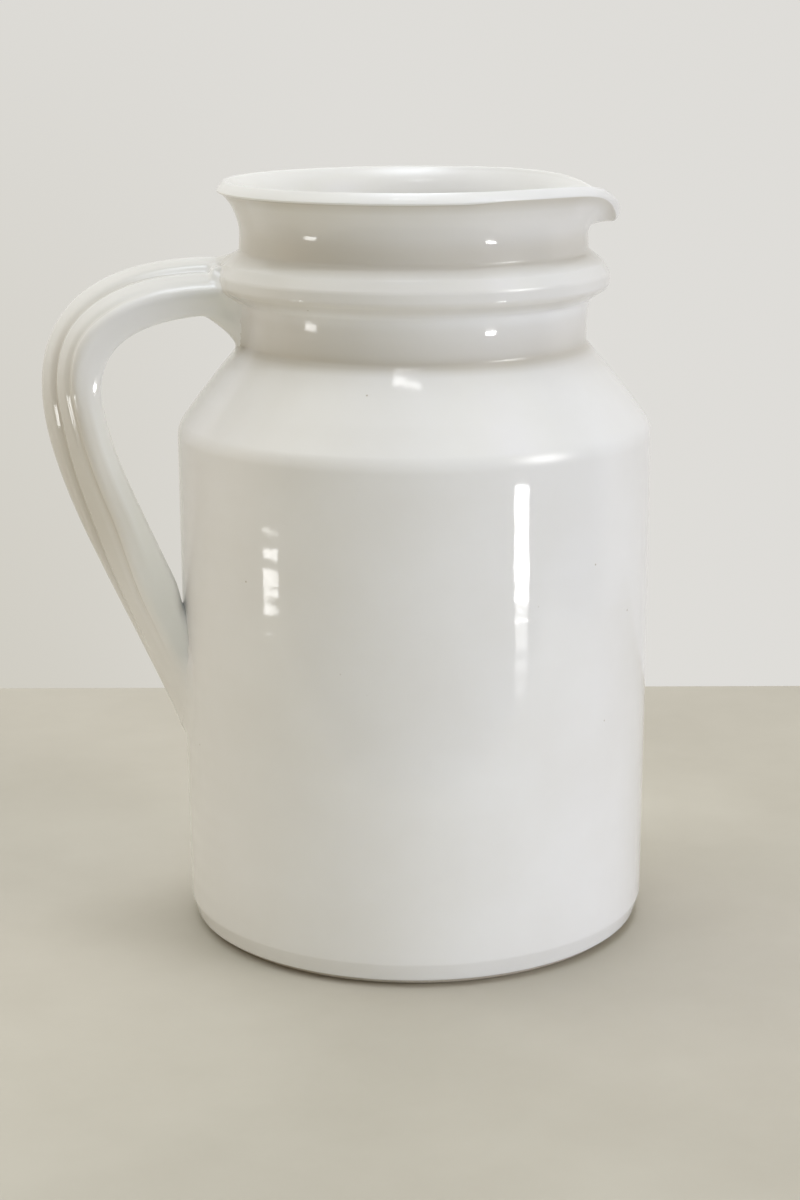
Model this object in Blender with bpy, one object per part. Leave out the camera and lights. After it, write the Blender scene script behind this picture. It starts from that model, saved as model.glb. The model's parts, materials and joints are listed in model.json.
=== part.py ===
"""White glazed ceramic jug, built from the thrown and pulled lumps of clay that a potter joins.

The jug stands on the plane z = 0 with its axis on the Z axis. The handle lies towards -X and the
spout towards +X. All sizes are in metres.
"""

import math

import bmesh
import bpy
from mathutils import Matrix, Vector

MM = 0.001

# Foot and floor
FOOT_INSET = 1.9 * MM
FOOT_HEIGHT = 1.6 * MM
FOOT_CHAMFER = 0.6 * MM
FLOOR_THICKNESS = 8.0 * MM
WALL_SEAT = 5.3 * MM

# Body wall and shoulder
BODY_RADIUS = 78.7 * MM
BODY_TAPER = 0.9 * MM
BODY_HEIGHT = 170.0 * MM
BODY_WALL = 5.2 * MM
BEVEL_INSET = 1.9 * MM
BEVEL_HEIGHT = 5.9 * MM
GLAZE_EDGE_ROUNDING = 1.0 * MM
HEEL_RISE = 7.0 * MM
HEEL_ROUNDING = 4.0 * MM
SHOULDER_RISE = 28.6 * MM
SHOULDER_ROUNDING = 8.0 * MM
SHOULDER_SWELL = 1.2 * MM
SHOULDER_SWELL_PLACE = 0.38
SHOULDER_SWELL_ROUNDING = 30.0 * MM
NECK_FOOT_ROUNDING = 5.0 * MM

# Neck and the ring round it
NECK_RADIUS = 57.2 * MM
NECK_WALL = 4.7 * MM
LOWER_NECK_HEIGHT = 19.2 * MM
UPPER_NECK_HEIGHT = 32.2 * MM
RING_PROJECTION = 7.3 * MM
RING_FACE_HEIGHT = 4.4 * MM
RING_LOWER_FLANK = 6.4 * MM
RING_UPPER_FLANK = 8.6 * MM
RING_TOE = 0.5 * MM
RING_TOE_HEIGHT = 1.5 * MM
RING_TOE_ROUNDING = 4.0 * MM
RING_ROUNDING = 2.6 * MM
RING_CHANNEL_DEPTH = 1.4 * MM

# Lip and spout
LIP_PROJECTION = 7.0 * MM
LIP_THICKNESS = 5.0 * MM
LIP_ROLL_HEIGHT = 5.6 * MM
DRAWN_LIP_PROJECTION = 5.7 * MM
DRAWN_LIP_THICKNESS = 3.8 * MM
SPOUT_REACH = 4.1 * MM
SPOUT_DROP = 6.8 * MM
SPOUT_NOSE_HEIGHT = 6.4 * MM
SPOUT_NOSE_THICKNESS = 4.8 * MM
FLARE_HEIGHT = 19.0 * MM
ROLL_UNDERCUT_ANGLE = -60.0
ROLL_FLARE_SWEEP = 50.0
DRAWN_UNDERCUT_ANGLE = -25.0
DRAWN_FLARE_SWEEP = 40.0
SPOUT_UNDERCUT_ANGLE = -95.0
SPOUT_FLARE_SWEEP = 86.0
LIP_INSIDE_ANGLE = 180.0
SPOUT_INSIDE_ANGLE = 170.0
DRAWN_HALF_ANGLE = 66.0
DRAWN_FADE_ANGLE = 18.0
SPOUT_SPREAD_ANGLE = 15.0

# Handle
HANDLE_WIDTH = 29.5 * MM
HANDLE_THICKNESS = 12.8 * MM
HANDLE_LEAN = 21.0
HANDLE_REACH = 34.6 * MM
HANDLE_TOP_DROP = 3.2 * MM
HANDLE_BEND_DROP = 34.8 * MM
HANDLE_TOP_RUN = 32.0 * MM
HANDLE_TOP_RISE = 2.0 * MM
HANDLE_BEND_RUN = 24.5 * MM
HANDLE_BACK_RUN = 25.0 * MM
HANDLE_FOOT_HEIGHT = 86.5 * MM
HANDLE_FOOT_RUN = 43.0 * MM
HANDLE_FOOT_ANGLE = 23.0
HANDLE_END_FLARE = 2.0 * MM
HANDLE_END_RUN = 18.0 * MM
HANDLE_CROWN = 0.5 * MM
HANDLE_SQUARENESS = 3.8
GROOVE_OFFSET = 3.5 * MM
GROOVE_WIDTH = 3.0 * MM
GROOVE_DEPTH = 1.1 * MM

# Clay smoothed under the two ends of the handle
WEB_WIDTH = 27.0 * MM
WEB_DROP = 17.0 * MM
WEB_TOE = 0.8 * MM
WEB_REACH = 20.0 * MM
WEB_FOOT_SHARE = 0.55
TAIL_WIDTH = 31.0 * MM
TAIL_LENGTH = 24.0 * MM
TAIL_PROUD = 3.0 * MM
TAIL_DROP = 13.0 * MM

# Joints between the lumps
SLIP_GAP = 0.3 * MM
BODY_JOINT_DROP = 12.0 * MM
BODY_LAP = 6.0 * MM
NECK_JOINT_RISE = 4.4 * MM
NECK_LAP = 4.6 * MM

# Fineness of the round stretches
TURN_STEPS = 60
ARC_STEP_ANGLE = 18.0
ROUNDING_SHARE = 0.48
FLARE_STEPS = 5
NOSE_STEPS = 8
STRAP_RINGS = 34
STRAP_BEND_SHARE = 0.42
STRAP_FLARE_SHARE = 0.25
STRAP_EDGE_STEPS = 6
STRAP_EDGE_ANGLE = 60.0
STRAP_INNER_STEPS = 10
OVAL_STEPS = 20
WEB_LEVELS = 8
TAIL_LEVELS = 10

# Heights and radii that follow from the sizes above
WALL_BASE = FOOT_HEIGHT + SLIP_GAP
BEVEL_TOP = WALL_BASE + BEVEL_HEIGHT
BODY_FOOT_RADIUS = BODY_RADIUS - BODY_TAPER
GLAZE_EDGE_RADIUS = BODY_FOOT_RADIUS - BEVEL_INSET
FOOT_RADIUS = GLAZE_EDGE_RADIUS - FOOT_INSET
FLOOR_PLUG_RADIUS = FOOT_RADIUS - WALL_SEAT
HEEL_RADIUS = FLOOR_PLUG_RADIUS + SLIP_GAP
BODY_JOINT = BODY_HEIGHT - BODY_JOINT_DROP
NECK_FOOT = BODY_HEIGHT + SHOULDER_RISE
NECK_JOINT = NECK_FOOT + NECK_JOINT_RISE
RING_MIDDLE = NECK_FOOT + LOWER_NECK_HEIGHT
RING_LOW = RING_MIDDLE - RING_FACE_HEIGHT / 2 - RING_LOWER_FLANK
RING_HIGH = RING_MIDDLE + RING_FACE_HEIGHT / 2 + RING_UPPER_FLANK
RING_RADIUS = NECK_RADIUS + RING_PROJECTION
CHANNEL_RADIUS = NECK_RADIUS - RING_CHANNEL_DEPTH
LIP_CREST = RING_MIDDLE + UPPER_NECK_HEIGHT
LIP_RADIUS = NECK_RADIUS + LIP_PROJECTION
NECK_INNER_RADIUS = NECK_RADIUS - NECK_WALL
BODY_INNER_RADIUS = BODY_RADIUS - BODY_WALL
FLARE_START = LIP_CREST - FLARE_HEIGHT
HANDLE_TOP = RING_MIDDLE - HANDLE_TOP_DROP
HANDLE_BEND = RING_MIDDLE - HANDLE_BEND_DROP
HANDLE_OUT = BODY_RADIUS + HANDLE_REACH


def clear_scene():
    """Start from an empty scene."""
    for item in list(bpy.data.objects):
        bpy.data.objects.remove(item, do_unlink=True)


def make_material(name, colour, roughness):
    """A fired surface with one colour and one gloss."""
    material = bpy.data.materials.new(name)
    material.use_nodes = True
    shader = material.node_tree.nodes["Principled BSDF"]
    shader.inputs["Base Color"].default_value = (*colour, 1.0)
    shader.inputs["Roughness"].default_value = roughness
    shader.inputs["Metallic"].default_value = 0.0
    material.diffuse_color = (*colour, 1.0)
    return material


def add_object(name, mesh_builder, material, smooth_angle=35.0):
    """Turn a finished bmesh into an object with smooth round faces."""
    mesh = bpy.data.meshes.new(name)
    mesh_builder.to_mesh(mesh)
    mesh_builder.free()
    mesh.shade_smooth()
    mesh.set_sharp_from_angle(angle=math.radians(smooth_angle))
    item = bpy.data.objects.new(name, mesh)
    bpy.context.scene.collection.objects.link(item)
    if material:
        mesh.materials.append(material)
    return item


def make_guide(item):
    """A cutter stays in the file as a wire shape that is no part of the jug."""
    item.hide_render = True
    item.display_type = "WIRE"
    return item


def rounded(corners, closed=True):
    """Outline through corners (radius, height, rounding), each rounding an arc."""
    points = []
    count = len(corners)
    for index, (r, z, rounding) in enumerate(corners):
        corner = Vector((r, z))
        at_end = not closed and index in (0, count - 1)
        if rounding <= 0 or at_end:
            points.append(corner)
            continue
        before = Vector(corners[index - 1][:2]) - corner
        after = Vector(corners[(index + 1) % count][:2]) - corner
        opening = before.angle(after)
        run = rounding / math.tan(opening / 2)
        longest = min(before.length, after.length) * ROUNDING_SHARE
        run = min(run, longest)
        radius = run * math.tan(opening / 2)
        halving = (before.normalized() + after.normalized()).normalized()
        centre = corner + halving * math.hypot(run, radius)
        start = corner + before.normalized() * run - centre
        end = corner + after.normalized() * run - centre
        steps = max(1, math.ceil(math.degrees(math.pi - opening) / ARC_STEP_ANGLE))
        swing = start.angle_signed(end)
        for step in range(steps + 1):
            turn = Matrix.Rotation(-swing * step / steps, 2)
            points.append(centre + turn @ start)
    return points


def turn_section(points, closed=True):
    """Turn an outline of (radius, height) points round the Z axis."""
    builder = bmesh.new()
    stations = builder.verts.layers.int.new("station")
    verts = []
    for number, point in enumerate(points):
        vert = builder.verts.new((point[0], 0.0, point[1]))
        vert[stations] = number
        verts.append(vert)
    pairs = list(zip(verts, verts[1:]))
    if closed:
        pairs.append((verts[-1], verts[0]))
    edges = [builder.edges.new(pair) for pair in pairs]
    bmesh.ops.spin(
        builder,
        geom=verts + edges,
        cent=(0.0, 0.0, 0.0),
        axis=(0.0, 0.0, 1.0),
        dvec=(0.0, 0.0, 0.0),
        angle=2 * math.pi,
        steps=TURN_STEPS,
        use_merge=True,
        use_duplicate=False,
    )
    bmesh.ops.remove_doubles(builder, verts=builder.verts[:], dist=0.001 * MM)
    bmesh.ops.recalc_face_normals(builder, faces=builder.faces[:])
    return builder


def loft(rings):
    """Skin closed rings of points, one after another, and close both ends."""
    builder = bmesh.new()
    previous = None
    for ring in rings:
        verts = [builder.verts.new(point) for point in ring]
        edges = [builder.edges.new(pair) for pair in zip(verts, verts[1:] + verts[:1])]
        if previous is None:
            builder.faces.new(verts)
        else:
            bmesh.ops.bridge_loops(builder, edges=previous + edges)
        previous = edges
    builder.faces.new(verts)
    bmesh.ops.recalc_face_normals(builder, faces=builder.faces[:])
    return builder


def cut(item, cutter):
    """Take a cutter's volume out of a piece."""
    modifier = item.modifiers.new("cut_" + cutter.name, "BOOLEAN")
    modifier.operation = "DIFFERENCE"
    modifier.solver = "EXACT"
    modifier.object = cutter


def wall_radius(height):
    """Outer radius of the tapered wall at a height."""
    share = (height - BEVEL_TOP) / (BODY_JOINT - BEVEL_TOP)
    return BODY_FOOT_RADIUS + BODY_TAPER * share


def shoulder_direction():
    """Unit direction up the straight line under the shoulder's swell, as (radius, height)."""
    return Vector((NECK_RADIUS - BODY_RADIUS, NECK_FOOT - BODY_HEIGHT)).normalized()


def shoulder_swell_corner():
    """The point where the shoulder stands furthest out of the straight line, as (radius, height)."""
    corner = Vector((BODY_RADIUS, BODY_HEIGHT))
    direction = shoulder_direction()
    outward = Vector((direction.y, -direction.x))
    run = (Vector((NECK_RADIUS, NECK_FOOT)) - corner).length * SHOULDER_SWELL_PLACE
    return corner + direction * run + outward * SHOULDER_SWELL


def shoulder_inner_height(radius):
    """Height at which the shoulder's inner face reaches a radius."""
    direction = shoulder_direction()
    inward = Vector((-direction.y, direction.x))
    start = Vector((BODY_RADIUS, BODY_HEIGHT)) + inward * BODY_WALL
    return start.y + direction.y * (radius - start.x) / direction.x


def ring_corners(clearance=0.0):
    """Outer outline of the neck ring, bottom to top."""
    toe = NECK_RADIUS + RING_TOE + clearance
    face = RING_RADIUS + clearance
    face_low = RING_MIDDLE - RING_FACE_HEIGHT / 2
    face_high = RING_MIDDLE + RING_FACE_HEIGHT / 2
    return [
        (toe, RING_LOW - clearance, 0),
        (toe + RING_TOE, RING_LOW + RING_TOE_HEIGHT - clearance, RING_TOE_ROUNDING),
        (face, face_low - clearance / 2, RING_ROUNDING),
        (face, face_high + clearance / 2, RING_ROUNDING),
        (toe + RING_TOE, RING_HIGH - RING_TOE_HEIGHT + clearance, RING_TOE_ROUNDING),
        (toe, RING_HIGH + clearance, 0),
    ]


def build_base_disc(material):
    """The floor: a clay disc whose rim carries the wall, flat and bare underneath."""
    outline = [
        (0.0, 0.0),
        (FOOT_RADIUS - FOOT_CHAMFER, 0.0),
        (FOOT_RADIUS, FOOT_CHAMFER),
        (FOOT_RADIUS, FOOT_HEIGHT),
        (FLOOR_PLUG_RADIUS, FOOT_HEIGHT),
        (FLOOR_PLUG_RADIUS, FLOOR_THICKNESS),
        (0.0, FLOOR_THICKNESS),
    ]
    return add_object("base_disc", turn_section(outline, closed=False), material)


def build_body_wall(material):
    """The thrown cylinder, with its bevelled foot and a thin tongue along the top edge."""
    tongue_outer = BODY_RADIUS - BODY_WALL / 2 - SLIP_GAP / 2
    tongue_top = BODY_JOINT + BODY_LAP
    outline = rounded([
        (HEEL_RADIUS, WALL_BASE, 0),
        (GLAZE_EDGE_RADIUS, WALL_BASE, GLAZE_EDGE_ROUNDING),
        (BODY_FOOT_RADIUS, BEVEL_TOP, BEVEL_HEIGHT),
        (BODY_RADIUS, BODY_JOINT, 0),
        (tongue_outer, BODY_JOINT, 0),
        (tongue_outer, tongue_top, 0),
        (BODY_INNER_RADIUS, tongue_top, 0),
        (BODY_FOOT_RADIUS - BODY_WALL, FLOOR_THICKNESS + HEEL_RISE, HEEL_ROUNDING),
        (HEEL_RADIUS, FLOOR_THICKNESS, 0),
    ])
    return add_object("body_wall", turn_section(outline), material)


def build_shoulder(material):
    """The cone over the wall: its skirt laps the wall's tongue, its own tongue takes the neck."""
    skirt_inner = BODY_RADIUS - BODY_WALL / 2 + SLIP_GAP / 2
    tongue_outer = NECK_RADIUS - NECK_WALL / 2 - SLIP_GAP / 2
    lap_top = BODY_JOINT + BODY_LAP + SLIP_GAP
    outline = rounded([
        (BODY_RADIUS, BODY_JOINT + SLIP_GAP, 0),
        (BODY_RADIUS, BODY_HEIGHT, SHOULDER_ROUNDING),
        (*shoulder_swell_corner(), SHOULDER_SWELL_ROUNDING),
        (NECK_RADIUS, NECK_FOOT, NECK_FOOT_ROUNDING),
        (NECK_RADIUS, NECK_JOINT, 0),
        (tongue_outer, NECK_JOINT, 0),
        (tongue_outer, NECK_JOINT + NECK_LAP, 0),
        (NECK_INNER_RADIUS, NECK_JOINT + NECK_LAP, 0),
        (NECK_INNER_RADIUS, shoulder_inner_height(NECK_INNER_RADIUS), NECK_FOOT_ROUNDING),
        (BODY_INNER_RADIUS, shoulder_inner_height(BODY_INNER_RADIUS), SHOULDER_ROUNDING),
        (BODY_INNER_RADIUS, lap_top, 0),
        (skirt_inner, lap_top, 0),
        (skirt_inner, BODY_JOINT + SLIP_GAP, 0),
    ])
    return add_object("shoulder", turn_section(outline), material)


def build_lower_neck(material):
    """The short collar whose upper edge carries half of the ring's channel."""
    skirt_inner = NECK_RADIUS - NECK_WALL / 2 + SLIP_GAP / 2
    top = RING_MIDDLE - SLIP_GAP / 2
    outline = [
        (NECK_RADIUS, NECK_JOINT + SLIP_GAP),
        (NECK_RADIUS, RING_LOW - SLIP_GAP),
        (CHANNEL_RADIUS, RING_LOW - SLIP_GAP),
        (CHANNEL_RADIUS, top),
        (NECK_INNER_RADIUS, top),
        (NECK_INNER_RADIUS, NECK_JOINT + NECK_LAP + SLIP_GAP),
        (skirt_inner, NECK_JOINT + NECK_LAP + SLIP_GAP),
        (skirt_inner, NECK_JOINT + SLIP_GAP),
    ]
    return add_object("lower_neck", turn_section(outline), material)


def build_neck_ring(material):
    """The band laid in the channel, over the join of the two neck sections."""
    seat = CHANNEL_RADIUS + SLIP_GAP
    outline = rounded([(seat, RING_LOW, 0), *ring_corners(), (seat, RING_HIGH, 0)])
    return add_object("neck_ring", turn_section(outline), material)


def rim_section(nose_radius, nose_crest, nose_height, nose_thickness, start, end, sweep):
    """One section of the upper neck: out along the flare, round the nose, back down inside.

    The nose is an ellipse of the given height and thickness whose outermost point and crest are
    given, drawn from the start angle to the end angle. The flare's curve has the given sweep.
    """
    half_thickness = nose_thickness / 2
    half_height = nose_height / 2
    centre_r = nose_radius - half_thickness
    centre_z = nose_crest - half_height

    def on_nose(angle):
        turn = math.radians(angle)
        return (centre_r + half_thickness * math.cos(turn), centre_z + half_height * math.sin(turn))

    def on_flare(foot_radius, top, share):
        turn = math.radians(sweep) * share
        across = (1 - math.cos(turn)) / (1 - math.cos(math.radians(sweep)))
        up = math.sin(turn) / math.sin(math.radians(sweep))
        return (
            foot_radius + (top[0] - foot_radius) * across,
            FLARE_START + (top[1] - FLARE_START) * up,
        )

    outer = [on_flare(NECK_RADIUS, on_nose(start), step / FLARE_STEPS) for step in range(FLARE_STEPS)]
    nose = [on_nose(start + (end - start) * step / NOSE_STEPS) for step in range(NOSE_STEPS + 1)]
    inner = [on_flare(NECK_INNER_RADIUS, on_nose(end), step / FLARE_STEPS) for step in range(FLARE_STEPS)]
    foot = RING_MIDDLE + SLIP_GAP / 2
    shelf = RING_HIGH + SLIP_GAP
    below = [(CHANNEL_RADIUS, foot), (CHANNEL_RADIUS, shelf), (NECK_RADIUS, shelf)]
    return below + outer + nose + inner[::-1] + [(NECK_INNER_RADIUS, foot)]


def ease(share):
    """Smooth step from 0 to 1."""
    share = min(1.0, max(0.0, share))
    return share * share * (3 - 2 * share)


def build_pouring_rim(material):
    """The upper neck: a rolled lip, thinned and drawn out to a spout on the +X side."""
    rolled = rim_section(
        LIP_RADIUS, LIP_CREST, LIP_ROLL_HEIGHT, LIP_THICKNESS,
        ROLL_UNDERCUT_ANGLE, LIP_INSIDE_ANGLE, ROLL_FLARE_SWEEP)
    drawn = rim_section(
        NECK_RADIUS + DRAWN_LIP_PROJECTION, LIP_CREST, LIP_ROLL_HEIGHT, DRAWN_LIP_THICKNESS,
        DRAWN_UNDERCUT_ANGLE, LIP_INSIDE_ANGLE, DRAWN_FLARE_SWEEP)
    tip = rim_section(
        LIP_RADIUS + SPOUT_REACH, LIP_CREST - SPOUT_DROP, SPOUT_NOSE_HEIGHT, SPOUT_NOSE_THICKNESS,
        SPOUT_UNDERCUT_ANGLE, SPOUT_INSIDE_ANGLE, SPOUT_FLARE_SWEEP)
    builder = turn_section(rolled)
    stations = builder.verts.layers.int["station"]
    for vert in builder.verts:
        angle = math.degrees(math.atan2(vert.co.y, vert.co.x))
        towards_drawn = ease((DRAWN_HALF_ANGLE + DRAWN_FADE_ANGLE - abs(angle)) / DRAWN_FADE_ANGLE)
        towards_tip = math.exp(-((angle / SPOUT_SPREAD_ANGLE) ** 2))
        number = vert[stations]
        point = Vector(rolled[number]).lerp(Vector(drawn[number]), towards_drawn)
        point = point.lerp(Vector(tip[number]), towards_tip)
        turn = math.radians(angle)
        vert.co = (point.x * math.cos(turn), point.x * math.sin(turn), point.y)
    return add_object("pouring_rim", builder, material)


def build_body_clearance():
    """Guide: the jug's outer surface a slip gap further out, to cut whatever is luted on."""
    gap = SLIP_GAP
    corners = [
        (0.0, BEVEL_TOP, 0),
        (BODY_FOOT_RADIUS + gap, BEVEL_TOP, 0),
        (BODY_RADIUS + gap, BODY_HEIGHT, SHOULDER_ROUNDING),
        (*(shoulder_swell_corner() + Vector((gap, gap))), SHOULDER_SWELL_ROUNDING),
        (NECK_RADIUS + gap, NECK_FOOT, NECK_FOOT_ROUNDING),
        *ring_corners(gap),
        (NECK_RADIUS + gap, FLARE_START, 0),
        (0.0, FLARE_START, 0),
    ]
    outline = rounded(corners, closed=False)
    return make_guide(add_object("body_clearance", turn_section(outline, closed=False), None))


def bezier(points, share):
    """Point and direction on a cubic curve through four control points."""
    a, b, c, d = points
    rest = 1 - share
    place = a * rest**3 + b * 3 * rest**2 * share + c * 3 * rest * share**2 + d * share**3
    direction = (b - a) * rest**2 + (c - b) * 2 * rest * share + (d - c) * share**2
    return place, direction.normalized()


def handle_path(share):
    """Middle line of the strap from the neck (0) over the bend to the wall (1), as (out, up)."""
    foot_angle = math.radians(HANDLE_FOOT_ANGLE)
    start = Vector((NECK_RADIUS, HANDLE_TOP))
    bend = Vector((HANDLE_OUT, HANDLE_BEND))
    foot = Vector((wall_radius(HANDLE_FOOT_HEIGHT), HANDLE_FOOT_HEIGHT))
    into_wall = Vector((-math.sin(foot_angle), -math.cos(foot_angle)))
    end = foot + into_wall * HANDLE_END_RUN
    over = (
        start,
        Vector((start.x + HANDLE_TOP_RUN, start.y + HANDLE_TOP_RISE)),
        Vector((bend.x, bend.y + HANDLE_BEND_RUN)),
        bend,
    )
    down = (
        bend,
        Vector((bend.x, bend.y - HANDLE_BACK_RUN)),
        foot - into_wall * HANDLE_FOOT_RUN,
        end,
    )
    if share < STRAP_BEND_SHARE:
        return bezier(over, share / STRAP_BEND_SHARE)
    return bezier(down, (share - STRAP_BEND_SHARE) / (1 - STRAP_BEND_SHARE))


def strap_section(width, thickness):
    """Outline of the strap across its run: a flat oval whose outer face has two grooves."""
    half_width = width / 2

    def face_height(across):
        full = 1 - abs(across / half_width) ** HANDLE_SQUARENESS
        return thickness / 2 * max(0.0, full) ** (1 / HANDLE_SQUARENESS)

    edge = []
    for step in range(STRAP_EDGE_STEPS):
        turn = math.radians(STRAP_EDGE_ANGLE * step / STRAP_EDGE_STEPS)
        edge.append((half_width * math.cos(turn), 0.0))
    groove = [
        (GROOVE_OFFSET + GROOVE_WIDTH / 2, 0.0),
        (GROOVE_OFFSET, GROOVE_DEPTH),
        (GROOVE_OFFSET - GROOVE_WIDTH / 2, 0.0),
    ]
    half_face = edge + groove
    whole_face = half_face + [(0.0, 0.0)] + [(-across, depth) for across, depth in reversed(half_face)]
    points = []
    for across, depth in whole_face:
        crown = HANDLE_CROWN * (1 - (across / half_width) ** 2)
        points.append((across, face_height(across) + crown - depth))
    for step in range(1, STRAP_INNER_STEPS):
        across = -half_width * math.cos(math.pi * step / STRAP_INNER_STEPS)
        points.append((across, -face_height(across)))
    return points


def strap_rings(clearance=0.0):
    """Rings of points along the handle, grown all round by a clearance."""
    rings = []
    lean = math.radians(HANDLE_LEAN)
    for number in range(STRAP_RINGS + 1):
        share = number / STRAP_RINGS
        place, direction = handle_path(share)
        middle = Vector((-place.x, 0.0, place.y))
        outward = Vector((direction.y, 0.0, direction.x))
        sideways = Vector((0.0, 1.0, 0.0))
        face = outward * math.cos(lean) - sideways * math.sin(lean)
        width_line = sideways * math.cos(lean) + outward * math.sin(lean)
        flare = HANDLE_END_FLARE * ease((share - 1 + STRAP_FLARE_SHARE) / STRAP_FLARE_SHARE)
        section = strap_section(HANDLE_WIDTH + flare + 2 * clearance, HANDLE_THICKNESS + 2 * clearance)
        rings.append([middle + width_line * across + face * height for across, height in section])
    return rings


def build_handle_strap(material, body_clearance):
    """The pulled strap, its two ends cut to the curve of the neck and the wall."""
    strap = add_object("handle_strap", loft(strap_rings()), material)
    cut(strap, body_clearance)
    return strap


def build_strap_clearance():
    """Guide: the strap a slip gap larger all round."""
    return make_guide(add_object("strap_clearance", loft(strap_rings(SLIP_GAP)), None))


def oval_ring(centre_out, height, half_out, half_across):
    """Level oval of points on the handle's side of the jug."""
    ring = []
    for step in range(OVAL_STEPS):
        turn = 2 * math.pi * step / OVAL_STEPS
        ring.append((-(centre_out + half_out * math.cos(turn)), half_across * math.sin(turn), height))
    return ring


def build_upper_handle_web(material, body_clearance, strap_clearance):
    """The wad of clay that fills the corner between the neck and the strap's underside."""
    rings = []
    for step in range(WEB_LEVELS + 1):
        share = step / WEB_LEVELS
        height = HANDLE_TOP - WEB_DROP * (1 - share)
        reach = WEB_TOE + WEB_REACH * share
        half_across = WEB_WIDTH / 2 * (WEB_FOOT_SHARE + (1 - WEB_FOOT_SHARE) * ease(share))
        rings.append(oval_ring(NECK_INNER_RADIUS, height, reach + NECK_WALL, half_across))
    web = add_object("upper_handle_web", loft(rings), material)
    cut(web, body_clearance)
    cut(web, strap_clearance)
    return web


def build_lower_handle_tail(material, body_clearance, strap_clearance):
    """The clay smeared down the wall from the end of the strap."""
    middle = HANDLE_FOOT_HEIGHT - TAIL_DROP
    rings = []
    for step in range(1, TAIL_LEVELS):
        turn = math.pi * step / TAIL_LEVELS
        height = middle - TAIL_LENGTH / 2 * math.cos(turn)
        size = math.sin(turn)
        root = wall_radius(height) - BODY_WALL
        proud = BODY_WALL + TAIL_PROUD * size
        rings.append(oval_ring(root, height, proud, TAIL_WIDTH / 2 * size + SLIP_GAP))
    tail = add_object("lower_handle_tail", loft(rings), material)
    cut(tail, body_clearance)
    cut(tail, strap_clearance)
    return tail


def main():
    """Build every piece of the jug."""
    clear_scene()
    glaze = make_material("white_glaze", (0.80, 0.79, 0.77), 0.12)
    bare_clay = make_material("bare_clay", (0.62, 0.56, 0.48), 0.85)
    body_clearance = build_body_clearance()
    strap_clearance = build_strap_clearance()
    build_base_disc(bare_clay)
    build_body_wall(glaze)
    build_shoulder(glaze)
    build_lower_neck(glaze)
    build_neck_ring(glaze)
    build_pouring_rim(glaze)
    build_handle_strap(glaze, body_clearance)
    build_upper_handle_web(glaze, body_clearance, strap_clearance)
    build_lower_handle_tail(glaze, body_clearance, strap_clearance)


main()
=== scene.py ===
# %% [markdown]
# # A white glazed jug
#
# The jug is thrown in clay, luted together and covered with one coat of white glaze. Its
# measured solids come in as a fixed frame. Here they get what the kiln gives them: one skin
# of glaze that runs over every join, soft corners, throwing rings, and a bare clay foot.

# %% Load the frame
import bpy
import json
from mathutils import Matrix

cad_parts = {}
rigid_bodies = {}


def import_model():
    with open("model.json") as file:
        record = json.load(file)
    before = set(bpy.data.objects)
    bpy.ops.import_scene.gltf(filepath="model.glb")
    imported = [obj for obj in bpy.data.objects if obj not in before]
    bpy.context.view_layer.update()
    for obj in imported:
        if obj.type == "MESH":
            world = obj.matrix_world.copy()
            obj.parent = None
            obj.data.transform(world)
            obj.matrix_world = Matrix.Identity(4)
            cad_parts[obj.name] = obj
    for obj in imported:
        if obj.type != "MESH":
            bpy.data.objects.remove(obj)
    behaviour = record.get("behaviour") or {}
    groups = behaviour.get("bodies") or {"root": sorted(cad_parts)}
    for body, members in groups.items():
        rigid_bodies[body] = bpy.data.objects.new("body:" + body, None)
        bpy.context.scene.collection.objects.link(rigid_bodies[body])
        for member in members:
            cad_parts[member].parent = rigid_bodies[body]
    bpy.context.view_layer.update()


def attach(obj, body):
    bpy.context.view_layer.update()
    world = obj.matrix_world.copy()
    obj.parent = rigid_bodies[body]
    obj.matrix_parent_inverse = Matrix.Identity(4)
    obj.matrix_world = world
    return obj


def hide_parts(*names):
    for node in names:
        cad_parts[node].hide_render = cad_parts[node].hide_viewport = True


for leftover in list(bpy.data.objects):
    bpy.data.objects.remove(leftover)
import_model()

import json
import math

import bmesh
from mathutils import Matrix, Vector, noise
from mathutils.bvhtree import BVHTree

MM = 0.001

# %% [markdown]
# ## The camera
#
# The camera stands a little above the rim and looks down by 14 degrees, so the mouth shows as
# a thin oval. The handle comes 7 degrees towards the camera. Its place was found by fitting
# the ovals of the rim, the shoulder and the foot.

# %% Camera
JUG_TURN = math.radians(-7.0)
CAMERA_PLACE = (0.0, -0.782, 0.30575)
CAMERA_SWING = math.radians(0.365)
CAMERA_TILT = math.radians(75.839)
CAMERA_ROLL = math.radians(-0.272)
FOCAL_LENGTH, SENSOR_WIDTH = 71.17, 36.0
facing = Matrix.Rotation(JUG_TURN, 4, "Z")
camera_data = bpy.data.cameras.new("camera")
camera_data.lens = FOCAL_LENGTH
camera_data.sensor_width = SENSOR_WIDTH
camera = bpy.data.objects.new("camera", camera_data)
bpy.context.scene.collection.objects.link(camera)
camera.matrix_world = (
    facing
    @ Matrix.Translation(CAMERA_PLACE)
    @ Matrix.Rotation(CAMERA_SWING, 4, "Z")
    @ Matrix.Rotation(CAMERA_TILT, 4, "X")
    @ Matrix.Rotation(CAMERA_ROLL, 4, "Z")
)
bpy.context.scene.camera = camera
bpy.context.scene.view_settings.view_transform = "Standard"
print("camera at", [round(v, 3) for v in camera.matrix_world.translation])

# %% [markdown]
# ## The outline of the pot
#
# A thrown pot is a turned shape, so one half outline holds nearly all of it. The outline
# starts as a few corners joined by edges. Bevel then rounds each corner, and subdivide cuts
# the long straight edges short enough to carry the marks of the potter's fingers.

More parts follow.
